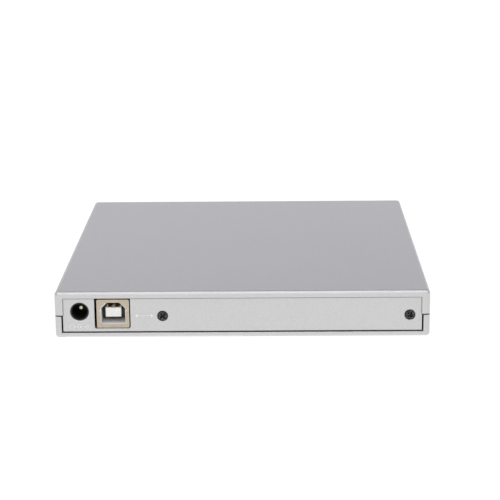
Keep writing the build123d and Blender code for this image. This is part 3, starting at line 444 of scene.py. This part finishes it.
# One look for each material slot of the record.
looks = {
    "silver_case": silver_paint("silver_paint", SILVER),
    "black_screw": screw_black("black_oxide"),
    "steel": sheet_metal("ground_steel", (0.44, 0.44, 0.45), 0.30),
    "case_steel": sheet_metal("rolled_sheet", (0.55, 0.55, 0.54), 0.34, SHEET_GRAIN),
    "socket_nickel": plated("socket_nickel", (0.52, 0.455, 0.36), 0.28),
    "gold": plated("gold_flash", (0.66, 0.50, 0.25), 0.28),
    "white_plastic": moulded(
        "white_moulding", (0.80, 0.81, 0.82), 0.000008, 0.42, shadow=(0.17, 0.185, 0.165)),
    "black_plastic": moulded("black_moulding", (0.012, 0.012, 0.013), 0.00003, 0.46),
    "grey_plastic": moulded("grey_moulding", (0.13, 0.135, 0.14), 0.00002, 0.45),
    "rubber": soft_rubber("rubber"),
    "green_board": board("circuit_board"),
    "chip_black": chip_epoxy("chip_epoxy"),
    "capacitor_can": plated("aluminium_can", (0.66, 0.67, 0.69), 0.30),
    "ceramic": moulded("ceramic", (0.30, 0.19, 0.10), 0.00001, 0.35),
    "flex_amber": ribbon_film("ribbon_film"),
    "copper": wound_copper("wound_copper"),
    "magnet": moulded("sintered_magnet", (0.050, 0.050, 0.054), 0.00002, 0.40, 2600.0),
    "light_pipe": light_pipe("light_pipe"),
    "lens_glass": coated_glass("coated_glass"),
    "spring_wire": sheet_metal("spring_wire", (0.62, 0.62, 0.62), 0.20),
}
# Pieces that look unlike the rest of their slot.
own_looks = {
    "pickup_sled": sheet_metal(
        "die_cast_sled", (0.27, 0.275, 0.29), 0.52, (300.0, 300.0, 300.0), 0.00001),
    "traverse_frame": sheet_metal("zinc_frame", (0.30, 0.30, 0.30), 0.42, (40.0, 500.0, 500.0)),
    "dc_jack_contact": plated("dark_nickel", (0.16, 0.15, 0.14), 0.32),
    "traverse_cover": sheet_metal("brushed_cover", (0.30, 0.30, 0.31), 0.40, (900.0, 30.0, 900.0)),
    "tray_shield": sheet_metal("zinc_sheet", (0.34, 0.34, 0.34), 0.46, SHEET_GRAIN),
    "usb_socket_insulator": socket_white("socket_white"),
    "lead_screw": threaded("rolled_thread", (0.60, 0.60, 0.61)),
    "dc_jack_pin": plated("pin_nickel", (0.62, 0.56, 0.46), 0.24),
    "disc_hub": moulded("hub_plastic", (0.030, 0.030, 0.032), 0.00001, 0.32),
}


def dress(obj, material):
    obj.data.materials.clear()
    obj.data.materials.append(material)


for part in frame["record"]["subparts"]:
    name = part["node"]
    dress(nodes[name], own_looks.get(name) or looks[part["material_slot"]])


def put(name, data):
    """A new object in the scene."""
    obj = bpy.data.objects.new(name, data)
    bpy.context.scene.collection.objects.link(obj)
    return obj


def put_mesh(name, mesh):
    """A new object in the scene from a bmesh, which is used up."""
    data = bpy.data.meshes.new(name)
    mesh.to_mesh(data)
    mesh.free()
    return put(name, data)


# ---- The folded ribbon cable, finely divided along its run and round its fold

RIBBON_THICK = 0.00012
FOLD_RADIUS = 0.00030
FOLD_MARGIN = 0.0004
RUN_STEPS, FOLD_STEPS, STRIPS = 60, 12, 6


def straight(start, end):
    """Points (y, z) from start to end, both included."""
    steps = [i / RUN_STEPS for i in range(RUN_STEPS + 1)]
    return [tuple(a + (b - a) * t for a, b in zip(start, end)) for t in steps]


def ribbon():
    low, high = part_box("flex_cable")
    upper_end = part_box("flex_header")[0].y
    fold_y, fold_z = low.y + FOLD_MARGIN, (low.z + high.z) / 2
    lower_z, upper_z = fold_z - FOLD_RADIUS, fold_z + FOLD_RADIUS
    profile = straight((high.y, low.z), (fold_y, lower_z))
    for i in range(1, FOLD_STEPS):
        a = math.pi * i / FOLD_STEPS
        profile.append((fold_y - FOLD_RADIUS * math.sin(a), fold_z - FOLD_RADIUS * math.cos(a)))
    profile += straight((fold_y, upper_z), (upper_end, high.z))
    mesh = bmesh.new()
    across = [low.x + (high.x - low.x) * k / STRIPS for k in range(STRIPS + 1)]
    rows = [[mesh.verts.new((x, y, z)) for x in across] for y, z in profile]
    for a, b in zip(rows, rows[1:]):
        for k in range(STRIPS):
            mesh.faces.new((a[k], a[k + 1], b[k + 1], b[k]))
    obj = put_mesh("ribbon_cable", mesh)
    solid = obj.modifiers.new("thickness", "SOLIDIFY")
    solid.thickness = RIBBON_THICK
    solid.offset = 0.0
    bpy.context.view_layer.objects.active = obj
    obj.select_set(True)
    bpy.ops.object.modifier_apply(modifier=solid.name)
    obj.select_set(False)
    obj.data.shade_smooth()
    dress(obj, looks["flex_amber"])
    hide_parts("flex_cable")
    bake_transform(obj)


ribbon()


# ---- A plain rating label, without lettering, in its recess under the case

LABEL_HALF = (0.0295, 0.0195)
LABEL_BOTTOM, LABEL_TOP = 0.00008, 0.00022
LABEL_CORNER = 0.0015


def rating_label():
    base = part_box("bottom_cover")[0].z
    low = Vector((-LABEL_HALF[0], -LABEL_HALF[1], base + LABEL_BOTTOM))
    high = Vector((LABEL_HALF[0], LABEL_HALF[1], base + LABEL_TOP))
    mesh = bmesh.new()
    bmesh.ops.create_cube(mesh, size=1.0)
    for vert in mesh.verts:
        vert.co = Vector([a if side < 0 else b for side, a, b in zip(vert.co, low, high)])
    thick = LABEL_TOP - LABEL_BOTTOM
    upright = [e for e in mesh.edges if abs(e.verts[0].co.z - e.verts[1].co.z) > thick / 2]
    bmesh.ops.bevel(
        mesh, geom=upright, offset=LABEL_CORNER, segments=6, affect="EDGES", profile=0.5)
    obj = put_mesh("rating_label", mesh)
    dress(obj, label_film("label_film", low, high))
    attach(obj, "enclosure")


rating_label()


# ---- Setting: a glowing white floor, soft lights, and a camera placed as for the photo

FLOOR_HALF = 6.0
# Just under the feet, so that floor and feet do not share a plane.
FLOOR_Z = -0.00003

CAMERA_AT = (-0.01104, 0.64459, 0.18486)
YAW, PITCH, ROLL = math.radians(0.797), math.radians(-14.79), math.radians(-0.541)
LENS_MM, SENSOR_MM = 116.94, 36.0
NEAREST = 0.01


def floor_white(name, color):
    g = Look(name)
    g.set(color=g.mix(g.spread(g.noise(3.0, 2.0)), shade(color, 0.995), color))
    g.set(rough=0.95, specular=0.0, glow_color=(1.0, 0.985, 0.965), glow=1.0)
    # Seen from below the floor is clear, so the underside of the drive can be looked at.
    clear = g.node("ShaderNodeMixShader")
    g.link(g.node("ShaderNodeNewGeometry").outputs["Backfacing"], clear.inputs[0])
    g.link(g.bsdf.outputs[0], clear.inputs[1])
    g.link(g.node("ShaderNodeBsdfTransparent").outputs[0], clear.inputs[2])
    g.link(clear.outputs[0], g.tree.nodes["Material Output"].inputs["Surface"])
    return g.material


def floor():
    mesh = bmesh.new()
    bmesh.ops.create_grid(mesh, x_segments=2, y_segments=2, size=FLOOR_HALF)
    obj = put_mesh("floor", mesh)
    obj.location.z = FLOOR_Z
    dress(obj, floor_white("floor_white", (0.12, 0.12, 0.12)))


def softbox(name, place, size, power, color=(1.0, 1.0, 1.0), target=(0, 0, 0), diffuse=True):
    """A lit panel that faces its target; without diffuse it is only seen in reflections."""
    lamp = bpy.data.lights.new(name, "AREA")
    lamp.shape = "RECTANGLE"
    lamp.size, lamp.size_y = size
    lamp.energy = power
    lamp.color = color
    obj = put(name, lamp)
    obj.location = place
    obj.rotation_euler = (Vector(target) - Vector(place)).to_track_quat("-Z", "Y").to_euler()
    obj.visible_diffuse = diffuse


def sky(color, strength, dim):
    """An even surround, white to the camera and dim high up beyond the front of the drive."""
    world = bpy.data.worlds.new("studio")
    world.use_nodes = True
    g = Graph(world.node_tree)
    back = g.tree.nodes["Background"]
    seen = g.node("ShaderNodeLightPath").outputs["Is Camera Ray"]
    g.link(g.mix(seen, color, (1.0, 1.0, 1.0)), back.inputs["Color"])
    _, y, z = g.split(g.node("ShaderNodeTexCoord").outputs["Generated"])
    beyond = g.product(g.span(y, -0.55, 0.05, 1.0, 0.0), g.span(z, 0.30, 0.55))
    light = g.span(beyond, 0.0, 1.0, strength, dim)
    g.link(g.math("MAXIMUM", seen, light), back.inputs["Strength"])
    bpy.context.scene.world = world


def camera():
    ahead = Vector((
        math.sin(YAW) * math.cos(PITCH), -math.cos(YAW) * math.cos(PITCH), math.sin(PITCH)))
    side = ahead.cross(Vector((0, 0, 1))).normalized()
    above = side.cross(ahead)
    right = side * math.cos(ROLL) + above * math.sin(ROLL)
    up = above * math.cos(ROLL) - side * math.sin(ROLL)
    lens = bpy.data.cameras.new("camera")
    lens.lens = LENS_MM
    lens.sensor_width = SENSOR_MM
    lens.clip_start = NEAREST
    obj = put("camera", lens)
    rows = zip(right, up, -ahead, CAMERA_AT)
    obj.matrix_world = Matrix((*rows, (0, 0, 0, 1)))
    bpy.context.scene.camera = obj


floor()
sky((0.94, 0.95, 1.0), 0.60, 0.02)
softbox("key_rear", (0.15, 1.2, 0.55), (0.9, 0.6), 1.96, (1.0, 0.955, 0.85))
softbox("edge_gleam", (0, 0.36, 0.86), (1.7, 0.75), 6.2, target=(0, 0.07, 0.0), diffuse=False)
softbox("overhead", (0, 0.1, 1.2), (0.8, 0.8), 1.1)
softbox("far_wall", (0, -1.5, 0.35), (3.4, 0.36), 2.15, (0.98, 0.95, 1.0), diffuse=False)
softbox("fill_front", (0.4, -1.1, 1.0), (0.8, 0.6), 0.4)
camera()
bpy.context.scene.view_settings.view_transform = "Standard"
